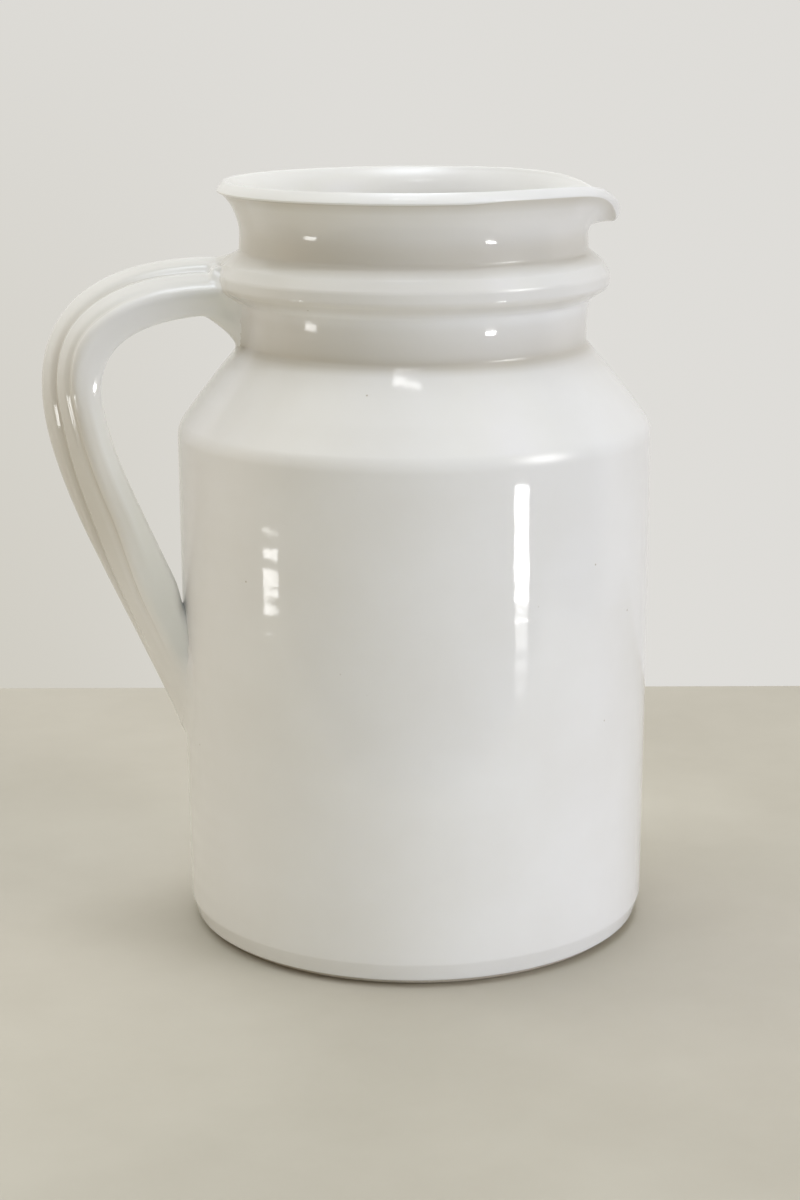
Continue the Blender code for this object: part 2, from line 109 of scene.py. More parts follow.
# %% Sizes of the outline
BODY_RADIUS = 78.7 * MM
BODY_FOOT_RADIUS = 78.1 * MM
BODY_HEIGHT = 170.0 * MM
BODY_WALL = 5.2 * MM
NECK_RADIUS = 57.0 * MM
NECK_WALL = 4.7 * MM
NECK_FOOT = 197.4 * MM
RING_MIDDLE = 217.8 * MM
RING_RADIUS = 64.3 * MM
LIP_CREST = 250.0 * MM
FLARE_START = 232.2 * MM
FLOOR_TOP = 8.3 * MM
GLAZE_EDGE = 1.8 * MM
BEVEL_TOP = 7.9 * MM

# Each corner is (radius, height, rounding radius, pieces in the arc).
outer_corners = [
    (0.0, GLAZE_EDGE, 0.0, 0),
    (BODY_FOOT_RADIUS - 1.9 * MM, GLAZE_EDGE, 1.1 * MM, 5),
    (BODY_FOOT_RADIUS, BEVEL_TOP, 3.0 * MM, 4),
    (BODY_RADIUS - 0.03 * MM, 100.0 * MM, 4000.0 * MM, 8),
    (BODY_RADIUS, BODY_HEIGHT, 8.5 * MM, 8),
    (71.0 * MM, 180.4 * MM, 30.0 * MM, 6),
    (63.3 * MM, 190.0 * MM, 35.0 * MM, 8),
    (NECK_RADIUS, NECK_FOOT, 1.8 * MM, 6),
    (NECK_RADIUS + 0.15 * MM, 207.0 * MM, 25.0 * MM, 6),
    (NECK_RADIUS + 0.9 * MM, 211.4 * MM, 1.6 * MM, 5),
    (RING_RADIUS, RING_MIDDLE - 2.2 * MM, 2.6 * MM, 8),
    (RING_RADIUS, RING_MIDDLE + 2.2 * MM, 2.6 * MM, 8),
    (62.1 * MM, 223.7 * MM, 1.5 * MM, 4),
    (NECK_RADIUS + 0.3 * MM, 227.4 * MM, 1.6 * MM, 6),
]
inner_corners = [
    (NECK_RADIUS - NECK_WALL, 196.2 * MM, 5.0 * MM, 8),
    (BODY_RADIUS - BODY_WALL, 168.2 * MM, 6.0 * MM, 6),
    (BODY_FOOT_RADIUS - BODY_WALL, 17.0 * MM, 7.0 * MM, 8),
    (64.0 * MM, FLOOR_TOP, 5.0 * MM, 5),
    (0.0, FLOOR_TOP, 0.0, 0),
]
print("outline of", len(outer_corners), "corners outside and", len(inner_corners), "inside")

# %% [markdown]
# ## The lip in three cuts
#
# The lip is thick at the back and sides. Its top is a sloping band, which ends in a crisp edge
# over the flare. Towards the spout the potter thins it, and at the tip it is drawn out and
# down. Three cuts through the wall, each with the same number of points, say what it is like in
# those places. A soft blend by angle then gives every place between them.

# %% The three cuts
FLARE_POINTS = 18
NOSE_POINTS = 22
FLATNESS = 1.75


def lip_cut(nose_radius, crest, band_height, under_height, thickness, start, end, sweep):
    """Points up the outer flare, round the nose of the lip, and down the inner flare.

    The nose runs from the start to the end angle, and the flare bends through the sweep.
    """
    half_thickness = thickness / 2
    middle = Vector((nose_radius - half_thickness, crest - band_height))

    def on_nose(turn):
        turn = math.radians(turn)
        across, up = math.cos(turn), math.sin(turn)
        if across > 0 and up > 0:
            across, up = across**FLATNESS, up**FLATNESS
        height = band_height if up > 0 else under_height
        return middle + Vector((half_thickness * across, height * up))

    def on_flare(foot_radius, top, share):
        turn = math.radians(sweep)
        across = (1 - math.cos(turn * share)) / (1 - math.cos(turn))
        up = math.sin(turn * share) / math.sin(turn)
        return Vector((
            foot_radius + (top.x - foot_radius) * across,
            FLARE_START + (top.y - FLARE_START) * up,
        ))

    shares = [step / FLARE_POINTS for step in range(FLARE_POINTS)]
    outer = [on_flare(NECK_RADIUS, on_nose(start), share) for share in shares]
    turns = [start + (end - start) * step / NOSE_POINTS for step in range(NOSE_POINTS + 1)]
    nose = [on_nose(turn) for turn in turns]
    inner_foot = NECK_RADIUS - NECK_WALL
    inner = [on_flare(inner_foot, on_nose(end), share) for share in reversed(shares)]
    return outer + nose + inner


rolled_lip = lip_cut(
    nose_radius=64.2 * MM, crest=LIP_CREST, band_height=3.1 * MM, under_height=1.0 * MM,
    thickness=5.0 * MM, start=-60, end=128, sweep=53)
thinned_lip = lip_cut(
    nose_radius=62.9 * MM, crest=LIP_CREST, band_height=2.8 * MM, under_height=1.4 * MM,
    thickness=3.8 * MM, start=-25, end=136, sweep=43)
spout_lip = lip_cut(
    nose_radius=68.7 * MM, crest=LIP_CREST - 8.6 * MM, band_height=1.5 * MM,
    under_height=4.8 * MM, thickness=4.8 * MM, start=-95, end=112, sweep=86)
print("lip cuts of", len(rolled_lip), len(thinned_lip), len(spout_lip), "points")

# %% [markdown]
# Shade is painted into the glaze's colour in the hollows of the neck, round the ring and under
# the lip: there it is darker and warmer. Each point of the outline carries the amount of painted
# shade, and the material reads it later.

# %% Where shade is painted on the neck
# Each pair is (height in millimetres, amount of painted shade from 0 to 1).
painted_shade_by_height = [
    (193.5, 0.0), (195.0, 0.35), (196.2, 0.85), (197.4, 1.0), (199.5, 0.65), (204.0, 0.42),
    (207.5, 0.25), (209.5, 0.0), (212.2, 0.0), (213.6, 0.4), (215.4, 0.5), (217.0, 0.25),
    (224.0, 0.15), (225.7, 0.5), (227.4, 0.9), (231.0, 0.85), (233.0, 0.7), (236.0, 0.42),
    (240.0, 0.28), (243.0, 0.3), (245.0, 0.7), (246.4, 0.95), (247.2, 0.3), (248.0, 0.0),
]


def painted_shade_at(height):
    """Amount of painted shade on the outer skin at a height, from 0 to 1."""
    millimetres = height / MM
    for (low, less), (high, more) in zip(painted_shade_by_height, painted_shade_by_height[1:]):
        if low <= millimetres <= high:
            return less + (more - less) * (millimetres - low) / (high - low)
    return 0.0


# The heights where the painted shade is darkest.
print("thickest glaze at", [height for height, amount in painted_shade_by_height if amount > 0.9], "mm")

# %% Draw the half outline
LONGEST_RUN = 0.48
pot = bmesh.new()
lip_place = pot.verts.layers.int.new("lip_place")
painted_shade = pot.verts.layers.float.new("painted_shade")


def round_corner(mesh, vert, radius, pieces):
    """Bevel one corner of a wire to an arc of the given radius.

    The arc may use up to nearly half of the shorter edge, so that two arcs never meet.
    """
    along = [edge.other_vert(vert).co - vert.co for edge in vert.link_edges]
    opening = along[0].angle(along[1])
    run = min(radius / math.tan(opening / 2), LONGEST_RUN * min(arm.length for arm in along))
    bmesh.ops.bevel(
        mesh, geom=[vert], offset=run, offset_type="OFFSET", segments=pieces,
        profile=0.5, affect="VERTICES", material=-1)


corners = outer_corners + [(p.x, p.y, 0.0, 0) for p in rolled_lip] + inner_corners
chain = [pot.verts.new((r, 0.0, z)) for r, z, _, _ in corners]
for number in range(len(rolled_lip)):
    chain[len(outer_corners) + number][lip_place] = number + 1
for pair in zip(chain, chain[1:]):
    pot.edges.new(pair)
for vert, (_, _, radius, pieces) in zip(chain, corners):
    if radius > 0:
        round_corner(pot, vert, radius, pieces)
print("outline of", len(pot.verts), "points after rounding")

# %% [markdown]
# The wall needs a point about every millimetre, so that rings 7 mm apart can lie in it. The
# inside is seldom seen and gets longer steps.

# %% Cut the long edges
OUTER_STEP, INNER_STEP = 1.1 * MM, 4.0 * MM
OVER_SHOULDER, UNDERSIDE = BODY_HEIGHT + 10.0 * MM, GLAZE_EDGE + 0.05 * MM
IN_THE_NECK, IN_THE_BODY = NECK_RADIUS - 1.0 * MM, BODY_FOOT_RADIUS - 3.0 * MM
OUTER_SKIN = NECK_RADIUS - 0.5 * MM
ROUND_NOSE_FOOT = 3
for longest, inside in ((OUTER_STEP, False), (INNER_STEP, True)):
    for edge in list(pot.edges):
        middle = (edge.verts[0].co + edge.verts[1].co) / 2
        inner_radius = IN_THE_NECK if middle.z > OVER_SHOULDER else IN_THE_BODY
        is_inside = middle.x < inner_radius or middle.z < UNDERSIDE
        on_lip = edge.verts[0][lip_place] > 0 and edge.verts[1][lip_place] > 0
        cuts = math.ceil(edge.calc_length() / longest) - 1
        if is_inside == inside and not on_lip and cuts > 0:
            made = bmesh.ops.subdivide_edges(pot, edges=[edge], cuts=cuts)
            for vert in made["geom_inner"]:
                if isinstance(vert, bmesh.types.BMVert):
                    vert[lip_place] = 0
# Points of the outer skin, and the foot of the lip's round nose, take their painted shade from the
# table.
for vert in pot.verts:
    number = vert[lip_place]
    if number > 0:
        is_outer = number <= FLARE_POINTS + ROUND_NOSE_FOOT
    else:
        is_outer = vert.co.x > OUTER_SKIN
    if is_outer:
        vert[painted_shade] = painted_shade_at(vert.co.z)
print("outline of", len(pot.verts), "points ready to turn")

# %% [markdown]
# ## Turning the pot
#
# Spin turns the outline round the axis, as the wheel does. The sector where the handle sits
# is turned in finer steps, because the clay there is drawn into soft hollows later.

# %% Spin
FINE_SECTOR = math.radians(60.0)
FINE_STEPS = 66
COARSE_STEPS = 140
SAME_PLACE = 0.002 * MM


def turn_about_axis(mesh, geometry, angle, steps):
    """Spin a wire about the upright axis and give back its last copy."""
    made = bmesh.ops.spin(
        mesh, geom=geometry, cent=(0, 0, 0), axis=(0, 0, 1), dvec=(0, 0, 0),
        angle=angle, steps=steps, use_merge=angle >= 2 * math.pi, use_duplicate=False)
    return made["geom_last"]


bmesh.ops.rotate(
    pot, verts=pot.verts[:], cent=(0, 0, 0),
    matrix=Matrix.Rotation(math.pi - FINE_SECTOR / 2, 3, "Z"))
last = turn_about_axis(pot, pot.verts[:] + pot.edges[:], FINE_SECTOR, FINE_STEPS)
turn_about_axis(pot, last, 2 * math.pi - FINE_SECTOR, COARSE_STEPS)
bmesh.ops.remove_doubles(pot, verts=pot.verts[:], dist=SAME_PLACE)
bmesh.ops.recalc_face_normals(pot, faces=pot.faces[:])
print("turned pot", len(pot.verts), "points", len(pot.faces), "faces")

# %% [markdown]
# ## Drawing out the spout
#
# The potter wets a finger and strokes the lip outwards between two others, which hold it in.
# So the lip thins over a wide arc and the tip itself is narrow. Each point of the lip moves
# from its place in the rolled cut towards its place in the other two.

# %% Blend the lip
THINNED_HALF_ANGLE = 66.0
THINNED_FADE = 18.0
SPOUT_SPREAD = 18.0
SPOUT_SHARPNESS = 1.4


def ease(share):
    """Smooth step from 0 to 1."""
    share = min(1.0, max(0.0, share))
    return share * share * (3 - 2 * share)


for vert in pot.verts:
    number = vert[lip_place]
    if number == 0:
        continue
    turn = math.atan2(vert.co.y, vert.co.x)
    degrees = math.degrees(turn)
    thinned = ease((THINNED_HALF_ANGLE + THINNED_FADE - abs(degrees)) / THINNED_FADE)
    drawn = math.exp(-(abs(degrees) / SPOUT_SPREAD) ** SPOUT_SHARPNESS)
    place = rolled_lip[number - 1].lerp(thinned_lip[number - 1], thinned)
    place = place.lerp(spout_lip[number - 1], drawn)
    vert.co = (place.x * math.cos(turn), place.x * math.sin(turn), place.y)
bmesh.ops.recalc_face_normals(pot, faces=pot.faces[:])
nose_middle = FLARE_POINTS + NOSE_POINTS // 2 + 1
lowest = min(vert.co.z for vert in pot.verts if vert[lip_place] == nose_middle)
print("lip drawn down to", round(lowest / MM, 1), "mm at the tip")

# %% [markdown]
# ## Marks of the hand
#
# The fingers climb as the wheel turns, so the rings are one long shallow screw. Their depth
# comes and goes. Under them the wall is never quite true. Both are real shape, an eighth of a
# millimetre deep at most, because a glossy glaze shows even that.

# %% Throwing rings and soft unevenness
RING_PITCH = 7.4 * MM
RING_DEPTH = 0.034 * MM
RING_STRENGTH, STRENGTH_SWING = 0.65, 0.35
FADE_ACROSS, FADE_UP = 18, 60
DEEP_SIDE = math.radians(130.0)
SWAY, SWAY_SCALE = 0.06 * MM, 22.0
RIPPLE, RIPPLE_SCALE = 0.035 * MM, 120.0
TOOLED_FOOT = GLAZE_EDGE + 1.5 * MM
CENTRE_OF_FLOOR = 20.0 * MM


def hand_marks(point):
    """How far the surface stands back from the true turned shape at a point."""
    turn = math.atan2(point.y, point.x)
    climb = point.z / RING_PITCH + turn / (2 * math.pi)
    patch = Vector((point.x * FADE_ACROSS, point.y * FADE_ACROSS, point.z * FADE_UP))
    strength = RING_STRENGTH + STRENGTH_SWING * noise.noise(patch)
    strength *= RING_STRENGTH - STRENGTH_SWING * math.sin(turn - JUG_TURN + DEEP_SIDE)
    rings = RING_DEPTH * strength * (1 + math.sin(2 * math.pi * climb))
    sway = SWAY * (1 + noise.noise(point * SWAY_SCALE)) / 2
    ripple = RIPPLE * (1 + noise.noise(point * RIPPLE_SCALE)) / 2
    return rings + sway + ripple


pot.normal_update()
deepest = 0.0
for vert in pot.verts:
    if vert.co.z > TOOLED_FOOT and math.hypot(vert.co.x, vert.co.y) > CENTRE_OF_FLOOR:
        depth = hand_marks(vert.co)
        vert.co -= vert.normal * depth
        deepest = max(deepest, depth)
print("deepest mark of the hand", round(deepest / MM, 3), "mm")

# %% [markdown]
# ## The handle
#
# A pulled handle is a strap of wet clay, stroked down with a wet hand until it is long, even
# and ribbed. It is built as a loft: the same closed cut is set square to a curved path again
# and again, and bridge joins each cut to the next.

# %% Path of the handle
HANDLE_TOP = 216.0 * MM
HANDLE_START = 54.7 * MM
HANDLE_BEND = 183.0 * MM
HANDLE_OUT = 112.9 * MM
HANDLE_FOOT = Vector((77.4 * MM, 86.9 * MM))
FOOT_SLANT = math.radians(23.0)
FOOT_DEPTH = 18.0 * MM
BEND_SHARE = 0.42
# The arms say how far the path keeps its direction at the neck, the bend and the wall.
NECK_ARM = Vector((34.5, 2.0)) * MM
ARM_OVER_BEND = Vector((0.0, 26.5)) * MM
ARM_UNDER_BEND = Vector((0.0, 25.0)) * MM
WALL_ARM = 43.0 * MM


def on_curve(points, share):
    """Place and direction on a curve with four control points."""
    a, b, c, d = points
    rest = 1 - share
    place = a * rest**3 + b * 3 * rest**2 * share + c * 3 * rest * share**2 + d * share**3
    heading = (b - a) * rest**2 + (c - b) * 2 * rest * share + (d - c) * share**2
    return place, heading.normalized()


def handle_path(share):
    """Middle line of the strap, (out, up), from the neck (0) over the bend to the wall (1)."""
    start = Vector((HANDLE_START, HANDLE_TOP))
    bend = Vector((HANDLE_OUT, HANDLE_BEND))
    into_wall = Vector((-math.sin(FOOT_SLANT), -math.cos(FOOT_SLANT)))
    end = HANDLE_FOOT + into_wall * FOOT_DEPTH
    if share < BEND_SHARE:
        over = (start, start + NECK_ARM, bend + ARM_OVER_BEND, bend)
        return on_curve(over, share / BEND_SHARE)
    down = (bend, bend - ARM_UNDER_BEND, HANDLE_FOOT - into_wall * WALL_ARM, end)
    return on_curve(down, (share - BEND_SHARE) / (1 - BEND_SHARE))


for share in (0.0, 0.2, 0.42, 0.7, 1.0):
    print("handle at", share, [round(v / MM, 1) for v in handle_path(share)[0]])

# %% [markdown]
# ## A cut through the strap
#
# The outer face is nearly flat, with a ridge left standing between two finger grooves. The
# inner face is plainer and a little wider. The strap is narrowest where it leaves the neck and
# grows wider downwards. It leans, so that its near edge lies lower than its far edge, as the
# hand that pulled it left it. The long run below the bend was pulled most, so it is thinnest
# there and leans further. Shade is painted in the grooves and along this run.

# %% The cut
NECK_END_WIDTH, NECK_END_THICKNESS = 25.5 * MM, 11.2 * MM
STRAP_WIDTH, STRAP_THICKNESS = 28.5 * MM, 12.7 * MM
TAIL_WIDTH, TAIL_THICKNESS = 29.5 * MM, 14.6 * MM
STRAP_LEAN = math.radians(21.0)
EXTRA_LEAN = math.radians(8.0)
THINNING = 2.4 * MM
SQUARENESS, ROUNDER_BY = 4.5, 2.4
INNER_WIDENING = 1.3 * MM
CROWN = 0.5 * MM
GROOVE_HALF_WIDTH = 1.9 * MM
GROOVE_DEPTH = 1.3 * MM
GROOVE_SWING, GROOVE_SCALE = 0.25, 9.0
MIDDLE_GROOVE, GROOVE_DRIFT = 0.3, 5.0
EDGE_GROOVE_INSET = 4.2 * MM
EDGE_GROOVE_DEPTH, EDGE_GROOVE_WIDTH = 0.6, 0.7
# How much shade is painted in the grooves and along the long run.
SHADE_IN_GROOVE, SHADE_ON_LONG_RUN = 0.4, 0.55
OUTER_POINTS = 60
INNER_POINTS = 34

# A change along the strap is (share of the way where it starts, share that it takes).
TO_STRAP_SIZE, TO_TAIL_SIZE = (0.0, 0.36), (0.45, 0.4)
LONG_RUN_BEGINS = (0.28, 0.25)
LONG_RUN_END, LONG_RUN_FADE = 0.84, 0.16
INNER_FACE_WIDENS, INNER_FACE_ROUNDS = (0.0, 0.3), (0.81, 0.05)
EDGE_GROOVE_BEGINS, GROOVES_END = (0.12, 0.12), (0.80, 0.13)
SHADE_BEGINS = (0.1, 0.1)


def half_thickness_at(across, width, thickness, squareness=SQUARENESS):
    """Half the strap's thickness at a place across it: full in the middle, round at the edge."""
    full = 1 - abs(2 * across / width) ** squareness
    return thickness / 2 * max(0.0, full) ** (1 / squareness)


def changed(share, start, length):
    """How far a change along the strap has gone at a share of the way, from 0 to 1."""
    return ease((share - start) / length)


def pulled_long(share):
    """From 0 to 1: how much the long middle run is pulled thinner and turned to the front."""
    return changed(share, *LONG_RUN_BEGINS) * ease((LONG_RUN_END - share) / LONG_RUN_FADE)


def groove(across, middle, half_width):
    """How deep a finger groove is at a place across the strap, from 0 to 1."""
    away = (across - middle) / half_width
    return math.exp(-away * away)


def strap_size(share):
    """Width and thickness of the strap, and how far it has changed to its lower size."""
    over, down = changed(share, *TO_STRAP_SIZE), changed(share, *TO_TAIL_SIZE)
    width = NECK_END_WIDTH + (STRAP_WIDTH - NECK_END_WIDTH) * over
    width += (TAIL_WIDTH - STRAP_WIDTH) * down
    thickness = NECK_END_THICKNESS + (STRAP_THICKNESS - NECK_END_THICKNESS) * over
    thickness += (TAIL_THICKNESS - STRAP_THICKNESS) * down - THINNING * pulled_long(share)
    return width, thickness, down


def strap_cut(share):
    """Points round the strap at one place, as (across, out of the face, painted shade)."""
    width, thickness, down = strap_size(share)
    depth = GROOVE_DEPTH * (1 - changed(share, *GROOVES_END))
    depth *= 1 + GROOVE_SWING * noise.noise(Vector((share * GROOVE_SCALE, 0.0, 0.0)))
    middle_groove = (MIDDLE_GROOVE + GROOVE_DRIFT * down) * MM
    edge_groove = EDGE_GROOVE_INSET - width / 2
    edge_depth = EDGE_GROOVE_DEPTH * depth * changed(share, *EDGE_GROOVE_BEGINS)
    edge_half_width = EDGE_GROOVE_WIDTH * GROOVE_HALF_WIDTH
    points = []
    for step in range(OUTER_POINTS):
        across = width / 2 * math.cos(math.pi * step / OUTER_POINTS)
        crown = CROWN * (1 - (2 * across / width) ** 2)
        hollow = depth * groove(across, middle_groove, GROOVE_HALF_WIDTH)
        hollow += edge_depth * groove(across, edge_groove, edge_half_width)
        # Painted shade: darker in the grooves and along the long run.
        shade_in_groove = SHADE_IN_GROOVE * changed(share, *SHADE_BEGINS) * hollow / GROOVE_DEPTH
        shade_amount = SHADE_ON_LONG_RUN * pulled_long(share) + shade_in_groove
        height = half_thickness_at(across, width, thickness) + crown - hollow
        points.append((across, height, min(1.0, shade_amount)))
    inner_squareness = SQUARENESS - ROUNDER_BY * changed(share, *INNER_FACE_ROUNDS)
    for step in range(INNER_POINTS):
        across = -width / 2 * math.cos(math.pi * step / INNER_POINTS)
        inside = half_thickness_at(across, width, thickness, inner_squareness)
        points.append((across, -inside, 0.0))
    spread = INNER_WIDENING * changed(share, *INNER_FACE_WIDENS)
    widened = []
    for across, height, shade_amount in points:
        wider = 1 + 2 * spread / width * max(0.0, 0.5 - height / thickness)
        widened.append((across * wider, height, shade_amount))
    return widened


for share in (0.0, BEND_SHARE, 0.6, 1.0):
    width, thickness, _ = strap_size(share)
    print("strap at", share, round(width / MM, 1), "x", round(thickness / MM, 1), "mm")

# %% [markdown]
# ## Pulling the strap
#
# At the neck a web of clay runs from the strap's underside straight down to the foot of the
# neck. Where the upper end was pressed on to the ring, a small torn crest of clay was left
# standing. The cuts are closer together there, to give it its ragged edge.

# %% Loft the strap
CLOSE_CUTS, CLOSE_LENGTH = 60, 0.12
WIDE_CUTS = 150
WEB_DEPTH = 12.5 * MM
WEB_LIMIT = 10.6 * MM
WEB_LENGTH = 0.063
WEB_SOFT_START = 0.004
CREST_PLACE = 0.044
CREST_HALF_LENGTH = 0.0075
CREST_MIDDLE, CREST_HALF_WIDTH = -2.5 * MM, 4.6 * MM
CREST_HEIGHT = 2.6 * MM
CREST_WANDER, WANDER_SCALE = 0.008, 0.16
RAGGED_ACROSS, RAGGED_ALONG = 0.28, 90.0
EVEN_PART, TORN_PART = 0.8, 0.6
CREST_SQUARENESS, WEB_SQUARENESS = 4, 6


def web_depth(share):
    """How far the web hangs below the strap: a straight slope with a short soft start."""
    slope = 1 - share / WEB_LENGTH
    softened = (slope + math.sqrt(slope * slope + WEB_SOFT_START)) / 2
    return min(WEB_LIMIT, WEB_DEPTH * softened)


def torn_crest(share, across):
    """How high the crest of pressed clay stands on the outer face."""
    ragged = noise.noise(Vector((across / MM * RAGGED_ACROSS, share * RAGGED_ALONG, 7.0)))
    wander = noise.noise(Vector((across / MM * WANDER_SCALE, 3.0, 0.0)))
    place = CREST_PLACE + CREST_WANDER * wander
    along_it = math.exp(-(((share - place) / CREST_HALF_LENGTH) ** CREST_SQUARENESS))
    across_it = math.exp(-(((across - CREST_MIDDLE) / CREST_HALF_WIDTH) ** CREST_SQUARENESS))
    return CREST_HEIGHT * (EVEN_PART + TORN_PART * ragged) * along_it * across_it


shares = [CLOSE_LENGTH * step / CLOSE_CUTS for step in range(CLOSE_CUTS)]
shares += [CLOSE_LENGTH + (1 - CLOSE_LENGTH) * step / WIDE_CUTS for step in range(WIDE_CUTS + 1)]
strap = bmesh.new()
painted_shade = strap.verts.layers.float.new("painted_shade")
previous = []
for share in shares:
    place, heading = handle_path(share)
    middle = Vector((-place.x, 0.0, place.y))
    outward = Vector((heading.y, 0.0, heading.x))
    sideways = Vector((0.0, 1.0, 0.0))
    lean = STRAP_LEAN + EXTRA_LEAN * pulled_long(share)
    face = outward * math.cos(lean) - sideways * math.sin(lean)
    across_line = sideways * math.cos(lean) + outward * math.sin(lean)
    ring = []
    for across, height, shade_amount in strap_cut(share):
        point = middle + across_line * across + face * height
        if height < 0:
            narrowing = 1 - (2 * across / NECK_END_WIDTH) ** WEB_SQUARENESS
            point.z -= web_depth(share) * max(0.0, narrowing) ** 0.5
        else:
            point += face * torn_crest(share, across)
        ring.append(strap.verts.new(point))
        ring[-1][painted_shade] = shade_amount
    edges = [strap.edges.new(pair) for pair in zip(ring, ring[1:] + ring[:1])]
    if previous:
        bmesh.ops.bridge_loops(strap, edges=previous + edges)
    else:
        strap.faces.new(ring)
    previous = edges
strap.faces.new(ring)
bmesh.ops.recalc_face_normals(strap, faces=strap.faces[:])
print("strap", len(strap.verts), "points", len(strap.faces), "faces")

# %% [markdown]
# ## Smoothing the joints
#
# The potter scores and slips the two ends, presses them on, and smooths the clay into a soft
# hollow with a finger. A finger rounds a corner most where the two surfaces are equally near.
# So each point of the pot moves out by a distance that depends on how near the strap is, and
# each point of the strap by how near the pot is. The two skins meet along the middle of the
# hollow, and neither shows an edge. The tail is smoothed well. The narrow crevice above it,
# where no finger fits, is left as it was.

# %% Soft joints
RING_SOFTNESS = 3.0 * MM
WEB_SOFTNESS = 7.0 * MM
TAIL_SOFTNESS = 5.0 * MM
CREVICE_SOFTNESS = 0.8 * MM
CREVICE_FOOT, CREVICE_FADE = 92.0 * MM, 10.0 * MM
RING_FOOT, RING_FADE = 206.0 * MM, 8.0 * MM
BETWEEN_JOINTS = 150.0 * MM
HANDLE_SIDE, HANDLE_HALF_BREADTH = -40.0 * MM, 34.0 * MM
FINGER_STROKES = 8
LONGEST_STROKE = 0.3


def joint_softness(point):
    """How far from the corner the clay is smoothed, at a place on the joint."""
    if point.z > BETWEEN_JOINTS:
        on_ring = ease((point.z - RING_FOOT) / RING_FADE)
        return WEB_SOFTNESS + (RING_SOFTNESS - WEB_SOFTNESS) * on_ring
    above = ease((point.z - CREVICE_FOOT) / CREVICE_FADE)
    return TAIL_SOFTNESS + (CREVICE_SOFTNESS - TAIL_SOFTNESS) * above


def signed_distance(tree, point):
    """Distance from a point to a closed skin, below zero inside it."""
    near, normal, _, distance = tree.find_nearest(point)
    return distance if (point - near).dot(normal) > 0 else -distance


def soft_union(a, b, softness):
    """The nearer of two distances, rounded where they are alike."""
    overlap = max(softness - abs(a - b), 0.0)
    return min(a, b) - overlap * overlap / (4 * softness)


def draw_towards(mesh, other, is_near):
    """Move a skin out along its normals to the soft union with another skin.

    The clay goes out in a few strokes, each from where the last one left it.
    """
    mesh.normal_update()
    moves = []
    for vert in mesh.verts:
        softness = joint_softness(vert.co)
        if not is_near(vert.co) or abs(signed_distance(other, vert.co)) > softness:
            continue
        out = 0.0
        for _ in range(FINGER_STROKES):
            there = signed_distance(other, vert.co + vert.normal * out)
            out -= soft_union(out, there, softness)
            out = min(max(out, 0.0), LONGEST_STROKE * softness)
        moves.append((vert, vert.normal * out))
    for vert, move in moves:
        vert.co += move
    return len(moves)


pot_skin = BVHTree.FromBMesh(pot)
strap_skin = BVHTree.FromBMesh(strap)


def behind(point):
    """Whether a point is on the handle's side of the pot's outer skin."""
    return point.x < HANDLE_SIDE and abs(point.y) < HANDLE_HALF_BREADTH


print("pot points drawn out", draw_towards(pot, strap_skin, behind))
print("strap points drawn out", draw_towards(strap, pot_skin, behind))

# %% [markdown]
# The ends of the strap are inside the wall now, and the lower one would come out into the
# hollow of the jug. Its hidden part is pressed flat in the middle of the wall.

# %% Keep the ends inside the wall
WALL_MIDDLE = BODY_FOOT_RADIUS - 2.5 * MM
hidden = 0
for vert in strap.verts:
    radius = math.hypot(vert.co.x, vert.co.y)
    if vert.co.z < BETWEEN_JOINTS and radius < WALL_MIDDLE:
        keep = WALL_MIDDLE / radius
        vert.co.x *= keep
        vert.co.y *= keep
        hidden += 1
bmesh.ops.recalc_face_normals(strap, faces=strap.faces[:])
print("strap points hidden in the wall", hidden)

# %% [markdown]
# ## Two glazed pieces
#
# A finished mesh becomes an object. It is shaded smooth, and only an edge sharper than the
# given angle stays crisp. The solids of the frame carry the weight and the collisions, so each
# new piece rides on their body and hides the solids it stands for.


# %% Put the glazed pieces in the scene
def add_piece(name, mesh, nodes, smooth_angle=60.0):
    """Make a finished mesh an object that rides on the jug and stands for its CAD nodes."""
    data = bpy.data.meshes.new(name)
    mesh.to_mesh(data)
    mesh.free()
    data.shade_smooth()
    data.set_sharp_from_angle(angle=math.radians(smooth_angle))
    piece = bpy.data.objects.new(name, data)
    bpy.context.scene.collection.objects.link(piece)
    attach(piece, "root")
    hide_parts(*nodes)
    print(name, len(data.polygons), "faces")
    return piece


glazed_pot = add_piece(
    "glazed_pot", pot,
    ("body_wall", "shoulder", "lower_neck", "neck_ring", "pouring_rim"))
glazed_handle = add_piece(
    "glazed_handle", strap,
    ("handle_strap", "upper_handle_web", "lower_handle_tail"))

# %% [markdown]
# ## The bare foot
#
# Glaze would weld the pot to the kiln shelf, so the potter wipes it off the foot. What is left
# is a low step of bare clay, turned flat, with fine rings from the turning tool underneath.

# %% Foot
FOOT_RADIUS = 74.0 * MM
FOOT_HOLLOW = 0.25 * MM
FOOT_TOP = GLAZE_EDGE + 0.05 * MM
FOOT_ROUNDING = 0.5 * MM
FOOT_STEPS = 160
foot = bmesh.new()
foot_corners = [
    (0.0, FOOT_HOLLOW), (52.0 * MM, FOOT_HOLLOW), (56.0 * MM, 0.0), (FOOT_RADIUS - 0.6 * MM, 0.0),
    (FOOT_RADIUS, 0.5 * MM), (FOOT_RADIUS, FOOT_TOP), (0.0, FOOT_TOP),
]
foot_chain = [foot.verts.new((r, 0.0, z)) for r, z in foot_corners]
for pair in zip(foot_chain, foot_chain[1:]):
    foot.edges.new(pair)
for vert in foot_chain[2:5]:
    round_corner(foot, vert, FOOT_ROUNDING, 3)
turn_about_axis(foot, foot.verts[:] + foot.edges[:], 2 * math.pi, FOOT_STEPS)
bmesh.ops.remove_doubles(foot, verts=foot.verts[:], dist=SAME_PLACE)
bmesh.ops.recalc_face_normals(foot, faces=foot.faces[:])
